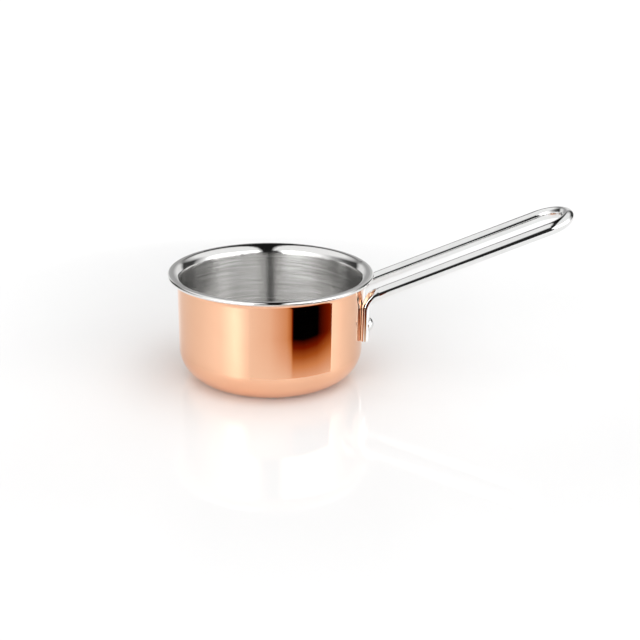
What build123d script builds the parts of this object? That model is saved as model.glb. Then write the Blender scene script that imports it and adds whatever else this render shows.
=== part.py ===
from build123d import *
from math import asin, atan, cos, degrees, pi, radians, sin, tan
import os

# A small copper saucepan. The bowl is a laminate of three metals: a copper skin outside, an
# aluminium core, and a stainless steel liner inside that rolls over the top as a flared rim.
# The handle is one bent steel rod, riveted to the wall through its two flattened ends.
#
# Frame: origin at the centre of the base, +Z up along the bowl's axis, handle towards +X.
# All sizes in millimetres.

# Bowl
inside_radius = 45.0
total_height = 54.5
corner_radius = 14.8       # outside of the curve from base to wall
flare_radius = 5.0         # inside of the curve from wall to rim
rim_radius = 51.8
skin_thickness = 0.4
core_thickness = 1.1
liner_thickness = 0.5

# Handle
wire_diameter = 6.0
leg_spacing = 24.6         # centre to centre, and the width of the loop at its far end
rise_angle = 21.4          # degrees above the horizontal
rise_height = 42.2         # where the line of the legs would meet the wall's tangent
loop_reach = 147.4         # from the bowl's axis to the middle of the rod at the loop's end
bend_radius = 10.9         # outside of the bend down to the wall
crease_radius = 0.8        # inside of the same bend, where the rod is hammered thin

# Flattened ends
tab_width = 8.4
tab_thickness = 3.8
tab_bottom_height = 21.4
hammer_play = 0.04         # keeps the hammered faces clear of the round rod

# Rivets
rivet_height = 29.4
shank_diameter = 4.0
outer_head_radius = 3.45
outer_head_rise = 2.1
outer_head_edge = 0.3      # height of the head's upright edge
inner_head_radius = 4.0
inner_head_rise = 1.1
inner_head_edge = 0.4

# Worked out from the sizes above
wall_thickness = skin_thickness + core_thickness + liner_thickness
outside_radius = inside_radius + wall_thickness
base_radius = outside_radius - corner_radius
flare_center_radius = inside_radius + flare_radius
flare_center_height = total_height - flare_radius
wire_radius = wire_diameter / 2
leg_offset = leg_spacing / 2
tab_face_radius = outside_radius + tab_thickness
tab_angle = degrees(asin(leg_offset / (outside_radius + tab_thickness / 2)))
left, right = -1, 1        # sides of the bowl as seen along the handle, -Y and +Y

os.makedirs("parts", exist_ok=True)


def radial(side, turn=0):
    """Unit vector from the bowl's axis towards one tab, turned about Z by an extra angle."""
    angle = radians(side * tab_angle + turn)
    return Vector(cos(angle), sin(angle), 0)


def upright_plane(side, radius, height):
    """Plane through the bowl's axis and one tab: local X out from the bowl, local Y up."""
    origin = radial(side) * radius + Vector(0, 0, height)
    return Plane(origin=origin, x_dir=radial(side), z_dir=radial(side, -90))


def layer_surface(depth):
    """Base, corner, wall and flare at a depth below the outside, from the axis to the lip."""
    with BuildLine() as surface:
        Line((0, depth), (base_radius, depth))
        bend = CenterArc((base_radius, corner_radius), corner_radius - depth, -90, 90)
        wall = Line(bend @ 1, (outside_radius - depth, flare_center_height))
        CenterArc(
            (flare_center_radius, flare_center_height),
            flare_center_radius - (wall @ 1).X,
            180,
            -90,
        )
    return surface.wire()


def layer_section(outer_depth, inner_depth):
    """Half section of one layer of the laminate, between two depths below the outside."""
    outer = layer_surface(outer_depth)
    inner = layer_surface(inner_depth)
    with BuildSketch() as section:
        with BuildLine():
            add(outer)
            add(inner)
            Line(outer @ 0, inner @ 0)
            Line(outer @ 1, inner @ 1)
        make_face()
    return section.sketch


# Holes for both rivets, drilled out through the wall and the tabs from the bowl's axis.
with BuildPart() as rivet_holes:
    for side in (left, right):
        with BuildSketch(Plane(origin=(0, 0, rivet_height), z_dir=radial(side))):
            Circle(shank_diameter / 2)
        extrude(amount=rim_radius)

# Copper skin, drawn over the core. It ends under the flare, behind the steel lip.
with BuildPart() as copper_skin:
    with BuildSketch(Plane.XZ):
        add(layer_section(0, skin_thickness))
    revolve(axis=Axis.Z)
    add(rivet_holes.part, mode=Mode.SUBTRACT)

copper_skin.part.label = "copper_skin"
export_step(copper_skin.part, "parts/copper_skin.step")

# Aluminium core, shut in between the skin, the liner and the lip.
with BuildPart() as aluminium_core:
    with BuildSketch(Plane.XZ):
        add(layer_section(skin_thickness, skin_thickness + core_thickness))
    revolve(axis=Axis.Z)
    add(rivet_holes.part, mode=Mode.SUBTRACT)

aluminium_core.part.label = "aluminium_core"
export_step(aluminium_core.part, "parts/aluminium_core.step")

# Steel liner. Its lip is as thick as the whole wall and closes the laminate's edge.
with BuildPart() as steel_liner:
    with BuildSketch(Plane.XZ):
        add(layer_section(skin_thickness + core_thickness, wall_thickness))
        with BuildLine():
            lip_end = rim_radius - wall_thickness / 2
            lip = Polyline(
                (lip_end, total_height - wall_thickness),
                (flare_center_radius, total_height - wall_thickness),
                (flare_center_radius, total_height),
                (lip_end, total_height),
            )
            RadiusArc(lip @ 1, lip @ 0, wall_thickness / 2)
        make_face()
    revolve(axis=Axis.Z)
    add(rivet_holes.part, mode=Mode.SUBTRACT)

steel_liner.part.label = "steel_liner"
export_step(steel_liner.part, "parts/steel_liner.step")

# Loop handle. One half is bent and forged, then mirrored to the other side.
seen_rise = degrees(atan(tan(radians(rise_angle)) / cos(radians(tab_angle))))
slope = Vector(cos(radians(rise_angle)), 0, sin(radians(rise_angle)))
across = Vector(-slope.Z, 0, slope.X)
leg_foot_x = (outside_radius - leg_offset * sin(radians(tab_angle))) / cos(radians(tab_angle))


def bend_center(from_foot, beside_leg, radius, rise):
    """Centre of an arc from a line beside the leg to an upright line near the leg's foot.

    Gives the distance out from the foot, and the height. The leg's rise is in degrees.
    """
    out = from_foot + radius
    drop = radius - beside_leg
    return out, rise_height + out * tan(radians(rise)) - drop / cos(radians(rise))


bend_out, bend_height = bend_center(0, wire_radius, bend_radius, rise_angle)
bend_axis = Vector(leg_foot_x + bend_out, leg_offset, bend_height)
bend_top = bend_axis + across * (bend_radius - wire_radius)
loop_center_x = loop_reach - leg_offset * slope.X
loop_start = bend_top + slope * ((loop_center_x - bend_top.X) / slope.X)
loop_center = Vector(loop_start.X, 0, loop_start.Z)
loop_end = loop_center + slope * leg_offset
loop_middle = loop_center + (slope + Vector(0, 1, 0)) * (leg_offset * cos(pi / 4))


def bent_section(share):
    """Plane across the rod at a share of the bend, twisting round to face the bowl's axis."""
    outward = across.rotate(Axis.Y, -share * (90 - rise_angle))
    moved_out = share * (wire_radius - tab_thickness / 2)
    return Plane(
        origin=bend_axis + outward * (bend_radius - wire_radius + moved_out),
        x_dir=Vector(0, 1, 0).rotate(Axis.Z, share * tab_angle),
        z_dir=outward.cross(Vector(0, -1, 0)).rotate(Axis.Z, share * tab_angle),
    )


with BuildPart() as loop_handle:
    # The rod spreads to the tab's width as it turns down.
    for share in (1, 2 / 3, 1 / 3, 0):
        with BuildSketch(bent_section(share)):
            Ellipse(wire_radius + (tab_width - wire_diameter) / 2 * share, wire_radius)
    loft()
    with BuildSketch(bent_section(1)):
        Ellipse(tab_width / 2, wire_radius)
    extrude(amount=tab_bottom_height - bend_height)
    # It is hammered thin between the bend's outside, which lies on the wall, and the crease.
    # Seen in the tab's upright plane the leg rises a little more steeply.
    beside = wire_radius + hammer_play
    with BuildSketch(upright_plane(right, outside_radius, 0)):
        with BuildLine():
            bend = CenterArc(
                bend_center(0, beside, bend_radius, seen_rise),
                bend_radius,
                90 + seen_rise,
                90 - seen_rise,
            )
            crease = CenterArc(
                bend_center(tab_thickness, -beside, crease_radius, seen_rise),
                crease_radius,
                90 + seen_rise,
                90 - seen_rise,
            )
            Polyline(bend @ 1, (0, tab_bottom_height), (tab_thickness, tab_bottom_height), crease @ 1)
            upper = PolarLine(bend @ 0, bend_radius, seen_rise)
            lower = PolarLine(crease @ 0, bend_radius, seen_rise)
            Line(upper @ 1, lower @ 1)
        make_face()
    extrude(amount=tab_width, both=True, mode=Mode.INTERSECT)
    # One straight leg and half of the loop.
    with BuildLine():
        Line(loop_start, bend_top)
        ThreePointArc(loop_end, loop_middle, loop_start)
    with BuildSketch(Plane(origin=bend_top, x_dir=across, z_dir=slope)):
        Circle(wire_radius)
    sweep()
    mirror(about=Plane.XZ)
    Cylinder(
        outside_radius,
        flare_center_height,
        align=(Align.CENTER, Align.CENTER, Align.MIN),
        mode=Mode.SUBTRACT,
    )
    add(rivet_holes.part, mode=Mode.SUBTRACT)

loop_handle.part.label = "loop_handle"
export_step(loop_handle.part, "parts/loop_handle.step")

# Rivets. The inner head is a low dome shaped to the wall, the outer head a fuller one.
for side, name in ((left, "rivet_left"), (right, "rivet_right")):
    with BuildPart() as rivet:
        with BuildSketch(upright_plane(side, 0, rivet_height)):
            with BuildLine():
                crown = (inside_radius - inner_head_rise, 0)
                edge = (inside_radius - inner_head_edge, inner_head_radius)
                dome = TangentArc(crown, edge, tangent=(0, 1))
                Polyline(
                    dome @ 1,
                    (inside_radius + wall_thickness, inner_head_radius),
                    (inside_radius + wall_thickness, 0),
                    dome @ 0,
                )
            make_face()
        revolve(axis=Axis((0, 0, rivet_height), radial(side)))
        Cylinder(
            inside_radius,
            flare_center_height,
            align=(Align.CENTER, Align.CENTER, Align.MIN),
            mode=Mode.INTERSECT,
        )
        with BuildSketch(upright_plane(side, 0, rivet_height)):
            with BuildLine():
                crown = (tab_face_radius + outer_head_rise, 0)
                edge = (tab_face_radius + outer_head_edge, outer_head_radius)
                dome = TangentArc(crown, edge, tangent=(0, 1))
                Polyline(
                    dome @ 1,
                    (tab_face_radius, outer_head_radius),
                    (tab_face_radius, shank_diameter / 2),
                    (inside_radius - inner_head_rise / 2, shank_diameter / 2),
                    (inside_radius - inner_head_rise / 2, 0),
                    dome @ 0,
                )
            make_face()
        revolve(axis=Axis((0, 0, rivet_height), radial(side)))

    rivet.part.label = name
    export_step(rivet.part, f"parts/{name}.step")
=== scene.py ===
import math
import bmesh
import bpy
from mathutils import Matrix, Vector

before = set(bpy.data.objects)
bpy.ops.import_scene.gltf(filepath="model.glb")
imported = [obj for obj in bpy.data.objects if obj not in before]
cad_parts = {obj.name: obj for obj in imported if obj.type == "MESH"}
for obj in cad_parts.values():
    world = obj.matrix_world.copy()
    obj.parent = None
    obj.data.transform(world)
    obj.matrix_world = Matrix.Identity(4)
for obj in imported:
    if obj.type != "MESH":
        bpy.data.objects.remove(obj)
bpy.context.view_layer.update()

# Copper skin. A thin copper sheet drawn over the outside of the bowl and polished to a mirror.
# Under the shine there are faint lines from the polishing wheel, all round the bowl, and the
# tone varies a little where hands and cloths have been.


def new_finish(name):
    finish = bpy.data.materials.new(name)
    finish.use_nodes = True
    tree = finish.node_tree
    shader = tree.nodes["Principled BSDF"]
    shader.inputs["Metallic"].default_value = 1.0
    place = tree.nodes.new("ShaderNodeTexCoord").outputs["Object"]
    return finish, tree, shader, place


def math_step(tree, operation, first, second=None):
    step = tree.nodes.new("ShaderNodeMath")
    step.operation = operation
    for socket, value in zip(step.inputs, (first, second)):
        if isinstance(value, (int, float)):
            socket.default_value = value
        elif value is not None:
            tree.links.new(value, socket)
    return step.outputs["Value"]


def vector_step(tree, operation, vector):
    step = tree.nodes.new("ShaderNodeVectorMath")
    step.operation = operation
    tree.links.new(vector, step.inputs[0])
    return step.outputs


def parts_of(tree, vector):
    separate = tree.nodes.new("ShaderNodeSeparateXYZ")
    tree.links.new(vector, separate.inputs["Vector"])
    return separate.outputs


def cloudy(tree, vector, scale, detail=3.0):
    clouds = tree.nodes.new("ShaderNodeTexNoise")
    clouds.inputs["Scale"].default_value = scale
    clouds.inputs["Detail"].default_value = detail
    tree.links.new(vector, clouds.inputs["Vector"])
    return clouds.outputs["Fac"]


def spread(tree, value, lowest, highest, start=0.0, end=1.0):
    span = tree.nodes.new("ShaderNodeMapRange")
    span.inputs["From Min"].default_value = start
    span.inputs["From Max"].default_value = end
    span.inputs["To Min"].default_value = lowest
    span.inputs["To Max"].default_value = highest
    tree.links.new(value, span.inputs["Value"])
    return span.outputs["Result"]


def tones(tree, value, stops):
    ramp = tree.nodes.new("ShaderNodeValToRGB")
    colours = ramp.color_ramp.elements
    for count, (position, colour) in enumerate(stops):
        stop = colours[count] if count < 2 else colours.new(position)
        stop.position = position
        stop.color = (*colour, 1.0)
    tree.links.new(value, ramp.inputs["Fac"])
    return ramp.outputs["Color"]


def lines_round_the_axis(tree, place, lines_per_metre):
    """Noise drawn out into lines round the bowl: long round the axis, fine along the profile."""
    turns = 1.6
    parts = parts_of(tree, place)
    flat = tree.nodes.new("ShaderNodeCombineXYZ")
    tree.links.new(parts["X"], flat.inputs["X"])
    tree.links.new(parts["Y"], flat.inputs["Y"])
    from_the_axis = vector_step(tree, "LENGTH", flat.outputs["Vector"])["Value"]
    outwards = parts_of(tree, vector_step(tree, "NORMALIZE", flat.outputs["Vector"])["Vector"])
    along = math_step(tree, "ADD", parts["Z"], from_the_axis)
    drawn = tree.nodes.new("ShaderNodeCombineXYZ")
    tree.links.new(math_step(tree, "MULTIPLY", outwards["X"], turns), drawn.inputs["X"])
    tree.links.new(math_step(tree, "MULTIPLY", outwards["Y"], turns), drawn.inputs["Y"])
    tree.links.new(math_step(tree, "MULTIPLY", along, lines_per_metre), drawn.inputs["Z"])
    return cloudy(tree, drawn.outputs["Vector"], 1.0, 4.0)


def raise_surface(tree, shader, height, strength, depth):
    bump = tree.nodes.new("ShaderNodeBump")
    bump.inputs["Strength"].default_value = strength
    bump.inputs["Distance"].default_value = depth
    tree.links.new(height, bump.inputs["Height"])
    tree.links.new(bump.outputs["Normal"], shader.inputs["Normal"])


copper_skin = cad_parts["copper_skin"]
polished_copper, tree, shader, place = new_finish("polished_copper")
copper_tone = tones(tree, cloudy(tree, place, 38.0), (
    (0.30, (0.905, 0.520, 0.335)),
    (0.70, (0.925, 0.550, 0.360)),
))
tree.links.new(copper_tone, shader.inputs["Base Color"])
wheel_lines = lines_round_the_axis(tree, place, 900.0)
hand_marks = cloudy(tree, place, 55.0, 5.0)
sheen = math_step(tree, "ADD", spread(tree, hand_marks, 0.025, 0.065, 0.35, 0.75),
                  spread(tree, wheel_lines, 0.0, 0.03, 0.4, 0.7))
tree.links.new(sheen, shader.inputs["Roughness"])
raise_surface(tree, shader, wheel_lines, 0.03, 0.00002)
copper_skin.material_slots[0].material = polished_copper

# Aluminium core. The thick middle layer that spreads the heat. It is bonded between the copper
# and the steel and covered by the steel lip, so only its plain mill finish is given.
aluminium_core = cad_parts["aluminium_core"]
mill_aluminium, tree, shader, place = new_finish("mill_aluminium")
tree.links.new(tones(tree, cloudy(tree, place, 60.0), (
    (0.3, (0.78, 0.78, 0.79)),
    (0.7, (0.84, 0.84, 0.85)),
)), shader.inputs["Base Color"])
rolling_lines = lines_round_the_axis(tree, place, 1500.0)
tree.links.new(spread(tree, rolling_lines, 0.3, 0.45), shader.inputs["Roughness"])
raise_surface(tree, shader, rolling_lines, 0.1, 0.00003)
aluminium_core.material_slots[0].material = mill_aluminium

# Steel liner. Stainless steel, brushed all round on the lathe inside the bowl. Its lip is rolled
# over the edge of the wall as a flared rim. The brushing fades into polish as the wall bends out.
brushing_top = 0.0488
polish_bottom = 0.0528
polished_roughness = 0.07
quarter_turn = 0.25
steel_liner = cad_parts["steel_liner"]
brushed_steel, tree, shader, place = new_finish("brushed_steel")
polish = spread(tree, parts_of(tree, place)["Z"], 0.0, 1.0, brushing_top, polish_bottom)
brushing = math_step(tree, "SUBTRACT", 1.0, polish)
coarse_lines = lines_round_the_axis(tree, place, 1100.0)
fine_lines = lines_round_the_axis(tree, place, 4200.0)
all_lines = math_step(tree, "ADD", math_step(tree, "MULTIPLY", coarse_lines, 0.6),
                      math_step(tree, "MULTIPLY", fine_lines, 0.4))
brushed_lines = math_step(tree, "MULTIPLY", all_lines, brushing)
steel_tone = tones(tree, brushed_lines, (
    (0.0, (0.80, 0.795, 0.785)),
    (0.40, (0.70, 0.695, 0.685)),
    (0.60, (0.80, 0.795, 0.785)),
))
tree.links.new(steel_tone, shader.inputs["Base Color"])
brushed = math_step(tree, "MULTIPLY", spread(tree, all_lines, 0.18, 0.26, 0.35, 0.65), brushing)
rim_polish = math_step(tree, "MULTIPLY", polish, polished_roughness)
tree.links.new(math_step(tree, "ADD", brushed, rim_polish), shader.inputs["Roughness"])
shader.inputs["Anisotropic"].default_value = 1.0
shader.inputs["Anisotropic Rotation"].default_value = quarter_turn
brushing_direction = tree.nodes.new("ShaderNodeVectorMath")
brushing_direction.operation = "CROSS_PRODUCT"
brushing_direction.inputs[0].default_value = (0.0, 0.0, 1.0)
tree.links.new(place, brushing_direction.inputs[1])
tree.links.new(brushing_direction.outputs["Vector"], shader.inputs["Tangent"])
raise_surface(tree, shader, brushed_lines, 0.16, 0.00004)
steel_liner.material_slots[0].material = brushed_steel

# Loop handle. One stainless steel rod, bent into a long loop, its two ends hammered flat against
# the bowl. It is polished bright, with drawing lines left faintly along the rod.
handle_rise = math.radians(21.4)
loop_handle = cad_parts["loop_handle"]
polished_rod, tree, shader, place = new_finish("polished_rod")
along_the_rod = tree.nodes.new("ShaderNodeMapping")
along_the_rod.inputs["Rotation"].default_value = (0.0, handle_rise, 0.0)
along_the_rod.inputs["Scale"].default_value = (20.0, 1600.0, 1600.0)
tree.links.new(place, along_the_rod.inputs["Vector"])
drawing_lines = cloudy(tree, along_the_rod.outputs["Vector"], 1.0, 3.0)
tree.links.new(tones(tree, cloudy(tree, place, 90.0), (
    (0.3, (0.77, 0.77, 0.765)),
    (0.7, (0.82, 0.82, 0.815)),
)), shader.inputs["Base Color"])
rod_sheen = math_step(tree, "ADD", spread(tree, drawing_lines, 0.0, 0.05, 0.4, 0.7),
                      spread(tree, cloudy(tree, place, 140.0, 5.0), 0.03, 0.07, 0.35, 0.75))
tree.links.new(rod_sheen, shader.inputs["Roughness"])
raise_surface(tree, shader, drawing_lines, 0.02, 0.00002)
loop_handle.material_slots[0].material = polished_rod

# Rivets. Two solid stainless steel rivets, one through each flattened end of the rod. Their domed
# outer heads are set with a cup punch, which leaves them bright but not quite even.
rivet_steel, tree, shader, place = new_finish("rivet_steel")
punch_marks = cloudy(tree, place, 420.0, 2.0)
tree.links.new(tones(tree, punch_marks, (
    (0.3, (0.72, 0.72, 0.715)),
    (0.7, (0.79, 0.79, 0.785)),
)), shader.inputs["Base Color"])
tree.links.new(spread(tree, punch_marks, 0.06, 0.14, 0.3, 0.7), shader.inputs["Roughness"])
raise_surface(tree, shader, punch_marks, 0.12, 0.00008)
for name in ("rivet_left", "rivet_right"):
    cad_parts[name].material_slots[0].material = rivet_steel

# Table. A wide sheet of white acrylic under the pan. Its gloss shows the pan faintly, and fades
# out further from the pan.


def piece_from(form, name):
    mesh = bpy.data.meshes.new(name)
    form.to_mesh(mesh)
    form.free()
    piece = bpy.data.objects.new(name, mesh)
    bpy.context.scene.collection.objects.link(piece)
    return piece


table_half_width = 10.0
table_gloss = 0.42
gloss_fades_from = 0.15
gloss_ends_at = 0.27
table_form = bmesh.new()
bmesh.ops.create_grid(table_form, x_segments=1, y_segments=1, size=table_half_width)
table = piece_from(table_form, "table")
white_acrylic, tree, shader, place = new_finish("white_acrylic")
shader.inputs["Metallic"].default_value = 0.0
shader.inputs["Base Color"].default_value = (0.83, 0.83, 0.83, 1.0)
from_the_pan = vector_step(tree, "LENGTH", place)["Value"]
gloss = spread(tree, from_the_pan, table_gloss, 0.0, gloss_fades_from, gloss_ends_at)
tree.links.new(gloss, shader.inputs["Specular IOR Level"])
tree.links.new(spread(tree, cloudy(tree, place, 8.0), 0.03, 0.05), shader.inputs["Roughness"])
table.data.materials.append(white_acrylic)

# Warm card. A low curved card that stands in front of the bowl, where only polished metal sees it.
# Its glow is a painted reflection: white on the left, black above and red brown below on the
# right, which paints the copper's one dark band. Its left end fades out, and it can't be seen from
# behind.


def only_in_reflections(card):
    card.visible_camera = False
    card.visible_diffuse = False
    card.visible_shadow = False


def bearing_from_the_front(tree, parts):
    towards_front = math_step(tree, "MULTIPLY", parts["Y"], -1.0)
    return math_step(tree, "ARCTAN2", parts["X"], towards_front)


def greys(tree, value, stops):
    return tones(tree, value, [(position, (grey, grey, grey)) for position, grey in stops])


card_radius = 0.075
card_height = 0.042
card_clearance = 0.0002
card_turn = math.radians(85.4)
card_first = math.radians(-32.0)
card_fade = 0.16
shade_height = 0.024
card_form = bmesh.new()
foot = Vector((card_radius * math.sin(card_first), -card_radius * math.cos(card_first),
               card_clearance))
edge = [card_form.verts.new(foot), card_form.verts.new(foot + Vector((0.0, 0.0, card_height)))]
upright = card_form.edges.new(edge)
bmesh.ops.spin(card_form, geom=[*edge, upright], cent=(0.0, 0.0, 0.0), axis=(0.0, 0.0, 1.0),
               angle=card_turn, steps=36)
warm_card = piece_from(card_form, "warm_card")
only_in_reflections(warm_card)
card_glow_painted_reflection = bpy.data.materials.new("card_glow_painted_reflection")
card_glow_painted_reflection.use_nodes = True
tree = card_glow_painted_reflection.node_tree
tree.nodes.remove(tree.nodes["Principled BSDF"])
parts = parts_of(tree, tree.nodes.new("ShaderNodeTexCoord").outputs["Object"])
card_bearing = bearing_from_the_front(tree, parts)
card_share = spread(tree, card_bearing, 0.0, 1.0, card_first, card_first + card_turn)
shade_across = greys(tree, card_share, (
    (0.14, 0.0),
    (0.20, 0.05),
    (0.342, 0.14),
    (0.509, 0.38),
    (0.550, 0.56),
    (0.570, 0.96),
    (0.677, 1.0),
    (0.818, 0.96),
    (0.976, 0.76),
))
shade_up = spread(tree, parts["Z"], 0.15, 1.0, 0.0, shade_height)
shade = math_step(tree, "MULTIPLY", shade_across, shade_up)
# Painted reflection: the card's glow runs from white through red browns to black, and the copper
# shows it as its dark band.
painted_reflection_tone = tones(tree, shade, (
    (0.0, (1.0, 1.0, 1.0)),
    (0.22, (0.82, 0.64, 0.53)),
    (0.42, (0.66, 0.38, 0.20)),
    (0.60, (0.40, 0.14, 0.03)),
    (0.78, (0.16, 0.013, 0.0)),
    (0.95, (0.0, 0.0, 0.0)),
))
glow = tree.nodes.new("ShaderNodeEmission")
tree.links.new(painted_reflection_tone, glow.inputs["Color"])
clear = tree.nodes.new("ShaderNodeBsdfTransparent")
seen_through = tree.nodes.new("ShaderNodeMixShader")
from_behind = tree.nodes.new("ShaderNodeNewGeometry").outputs["Backfacing"]
faded_end = spread(tree, card_share, 1.0, 0.0, 0.0, card_fade)
tree.links.new(math_step(tree, "MAXIMUM", from_behind, faded_end), seen_through.inputs["Fac"])
tree.links.new(glow.outputs["Emission"], seen_through.inputs[1])
tree.links.new(clear.outputs["BSDF"], seen_through.inputs[2])
tree.links.new(seen_through.outputs["Shader"], tree.nodes["Material Output"].inputs["Surface"])
warm_card.data.materials.append(card_glow_painted_reflection)

# Black card. It stands on the table in front, below the gap between the soft boxes, and carries
# the gap down to the table in the reflections of the rod.
black_card_width = 0.36
black_card_height = 0.13
black_card_middle = (0.08, -0.30, 0.0652)
black_card_form = bmesh.new()
bmesh.ops.create_grid(black_card_form, x_segments=1, y_segments=1, size=0.5)
bmesh.ops.scale(black_card_form, vec=(black_card_width, black_card_height, 1.0),
                verts=black_card_form.verts)
bmesh.ops.rotate(black_card_form, cent=(0.0, 0.0, 0.0), verts=black_card_form.verts,
                 matrix=Matrix.Rotation(math.radians(-90.0), 3, "X"))
bmesh.ops.translate(black_card_form, vec=black_card_middle, verts=black_card_form.verts)
black_card = piece_from(black_card_form, "black_card")
only_in_reflections(black_card)
black_paint, tree, shader, place = new_finish("black_paint")
shader.inputs["Metallic"].default_value = 0.0
shader.inputs["Base Color"].default_value = (0.01, 0.01, 0.01, 1.0)
shader.inputs["Roughness"].default_value = 0.9
black_card.data.materials.append(black_paint)

# Studio. Soft boxes to the left and right of the camera with a dark gap between them, a white
# ceiling with the same gap, darkness behind the pan, and a low grey backdrop. That is what the
# metal reflects. Seen directly, the background is plain white.


def blend(tree, share, first, second):
    mixer = tree.nodes.new("ShaderNodeMix")
    for name, value in (("Factor", share), ("A", first), ("B", second)):
        if isinstance(value, float):
            mixer.inputs[name].default_value = value
        else:
            tree.links.new(value, mixer.inputs[name])
    return mixer.outputs["Result"]


gap_middle = 0.05
plain_white = 1.3
studio = bpy.data.worlds.new("studio")
bpy.context.scene.world = studio
studio.use_nodes = True
tree = studio.node_tree
parts = parts_of(tree, tree.nodes.new("ShaderNodeTexCoord").outputs["Generated"])
bearing = bearing_from_the_front(tree, parts)
round_the_room = spread(tree, bearing, 0.0, 1.0, -math.pi, math.pi)
soft_boxes = greys(tree, round_the_room, (
    (0.13, 0.05),
    (0.18, 0.14),
    (0.24, 0.50),
    (0.32, 1.6),
    (0.39, 5.5),
    (0.43, 4.2),
    (0.468, 0.02),
    (0.524, 0.02),
    (0.55, 3.2),
    (0.71, 2.8),
    (0.77, 1.0),
    (0.83, 0.05),
))
off_the_gap = math_step(tree, "SUBTRACT", parts["X"], gap_middle)
beside_gap = math_step(tree, "ABSOLUTE", off_the_gap)
ceiling = spread(tree, beside_gap, 0.01, 1.0, 0.09, 0.16)
overhead = spread(tree, parts["Z"], 0.0, 1.0, 0.45, 0.65)
lit_room = blend(tree, overhead, soft_boxes, ceiling)
behind = spread(tree, parts["Y"], 0.0, 1.0, 0.78, 0.86)
low = spread(tree, parts["Z"], 1.0, 0.0, 0.40, 0.50)
to_the_side = math_step(tree, "ABSOLUTE", parts["X"])
backdrop = spread(tree, to_the_side, 0.40, 0.85, 0.06, 0.26)
room = blend(tree, math_step(tree, "MULTIPLY", behind, low), lit_room, backdrop)
seen_directly = tree.nodes.new("ShaderNodeLightPath").outputs["Is Camera Ray"]
background = blend(tree, seen_directly, room, plain_white)
tree.links.new(background, tree.nodes["Background"].inputs["Color"])

# Overhead light. One wide soft light above the table, a little to the right, which whitens the
# table evenly and is kept out of the metal's reflections.
overhead_data = bpy.data.lights.new("overhead_light", "SUN")
overhead_data.angle = math.radians(60.0)
overhead_data.energy = 0.9
overhead_light = bpy.data.objects.new("overhead_light", overhead_data)
overhead_light.rotation_euler = (0.0, math.radians(10.0), 0.0)
overhead_light.visible_glossy = False
bpy.context.scene.collection.objects.link(overhead_light)

# Camera. It looks at the pan's side from a little above, with a normal lens. The view is shifted
# so that the pan stands left of the middle and its handle fills the right.
camera_data = bpy.data.cameras.new("camera")
camera_data.lens = 53.52
camera_data.shift_x = 0.0773
camera_data.clip_start = 0.01
camera = bpy.data.objects.new("camera", camera_data)
camera.location = (-0.01405, -0.45838, 0.1950)
camera.rotation_euler = (math.radians(69.944), 0.0, math.radians(-1.756))
bpy.context.scene.collection.objects.link(camera)
bpy.context.scene.camera = camera
bpy.context.scene.view_settings.view_transform = "Standard"
